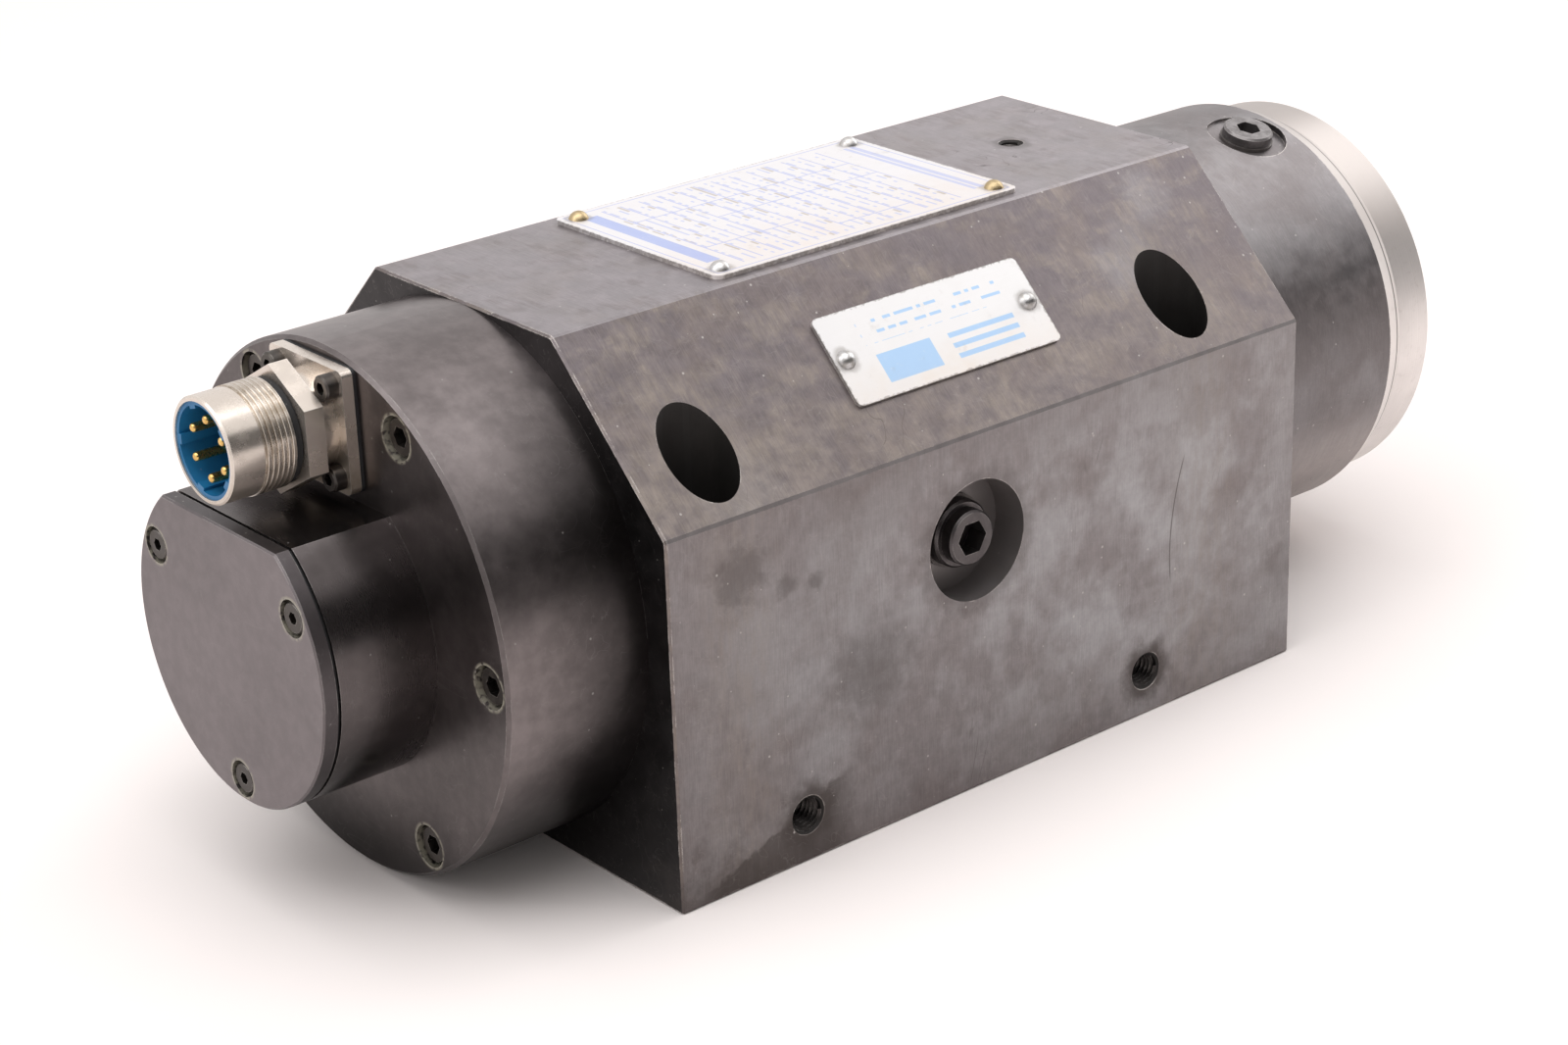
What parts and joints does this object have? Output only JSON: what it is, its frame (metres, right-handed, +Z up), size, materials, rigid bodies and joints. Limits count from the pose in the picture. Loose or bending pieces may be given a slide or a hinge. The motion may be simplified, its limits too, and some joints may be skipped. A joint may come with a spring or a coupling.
{
  "type": "motor spindle",
  "caption": "Motor spindle in a chamfered blackened steel clamping block with a turned nose, bright front bands, round rear housing, encoder drum and a round power connector.",
  "frame": {"origin": "middle of the block's flat base", "axes": "+X along the spindle axis towards the tool end, +Z up from the base"},
  "size_m": [0.3377, 0.134, 0.1227],
  "materials": {
    "blackened_steel": "mottled blackened steel with worn edges",
    "black_housing": "semi-gloss black",
    "lid_grey": "satin dark grey",
    "ground_steel": "ground, bright",
    "black_screws": "black oxide",
    "bright_screws": "plain steel",
    "bearing_steel": "polished bearing steel",
    "cage_resin": "brown fibre resin",
    "shaft_steel": "ground steel",
    "collet_steel": "ground spring steel",
    "lamination": "stacked sheet steel",
    "copper": "varnished copper winding",
    "aluminium": "turned aluminium",
    "seal_rubber": "black rubber",
    "port_washer": "copper sealing washer",
    "plug_steel": "dark plated steel",
    "plate_silver": "pale silver with blue ruled lines",
    "rivet_metal": "plated, a little brassy",
    "nickel": "nickel, a little dull",
    "blue_insert": "steel blue plastic",
    "gold_pin": "gold plated",
    "lead_insulation": "black insulation",
    "wheel_steel": "toothed steel",
    "sensor_plastic": "moulded black"
  },
  "bodies": {
    "housing": {"housing_block": "blackened_steel", "port_seals": "port_washer", "port_plugs": "plug_steel", "nose_port_seal": "port_washer", "nose_port_plug": "plug_steel", "rating_plate": "plate_silver", "rating_plate_rivets": "rivet_metal", "name_plate": "plate_silver", "name_plate_rivets": "rivet_metal", "front_cover": "ground_steel", "front_cover_screws": "bright_screws", "front_outer_rings": "bearing_steel", "front_outer_spacer": "shaft_steel", "rear_outer_ring": "bearing_steel", "stator_core": "lamination", "stator_winding": "copper", "cooling_jacket": "aluminium", "jacket_seals": "seal_rubber", "rear_housing": "black_housing", "rear_housing_screws": "black_screws", "bearing_bush": "shaft_steel", "bush_clip": "shaft_steel", "preload_spring": "shaft_steel", "encoder_housing": "black_housing", "encoder_housing_screws": "bright_screws", "lid_gasket": "seal_rubber", "encoder_lid": "lid_grey", "encoder_lid_screws": "black_screws", "encoder_read_head": "sensor_plastic", "connector_gasket": "seal_rubber", "connector_flange": "nickel", "connector_screws": "black_screws", "connector_shell": "nickel", "connector_seal": "seal_rubber", "connector_insert": "blue_insert", "connector_pins": "gold_pin", "winding_leads": "lead_insulation"},
    "spindle": {"labyrinth_ring": "ground_steel", "labyrinth_screws": "bright_screws", "spindle_shaft": "shaft_steel", "collet": "collet_steel", "collet_nut": "collet_steel", "front_inner_rings": "bearing_steel", "front_inner_spacer": "shaft_steel", "front_lock_nut": "shaft_steel", "rotor_core": "lamination", "rotor_end_rings": "aluminium", "rotor_sleeve": "shaft_steel", "rear_inner_ring": "bearing_steel", "rear_lock_nut": "shaft_steel", "encoder_wheel": "wheel_steel", "wheel_washer": "bright_screws", "wheel_screw": "bright_screws"},
    "front_ball_set": {"front_balls": "bearing_steel", "front_cages": "cage_resin"},
    "rear_ball_set": {"rear_balls": "bearing_steel", "rear_cage": "cage_resin"}
  },
  "joints": [
    {"name": "spindle_spin", "type": "hinge", "parent": "housing", "child": "spindle", "pos_m": [0, 0, 0.06], "axis": [1, 0, 0], "continuous": true},
    {"name": "front_cage_turn", "type": "hinge", "parent": "housing", "child": "front_ball_set", "pos_m": [0, 0, 0.06], "axis": [1, 0, 0], "continuous": true},
    {"name": "rear_cage_turn", "type": "hinge", "parent": "housing", "child": "rear_ball_set", "pos_m": [0, 0, 0.06], "axis": [1, 0, 0], "continuous": true}
  ],
  "couplings": [
    {"joint": "front_cage_turn", "follows": "spindle_spin", "ratio": 0.435},
    {"joint": "rear_cage_turn", "follows": "spindle_spin", "ratio": 0.424}
  ]
}
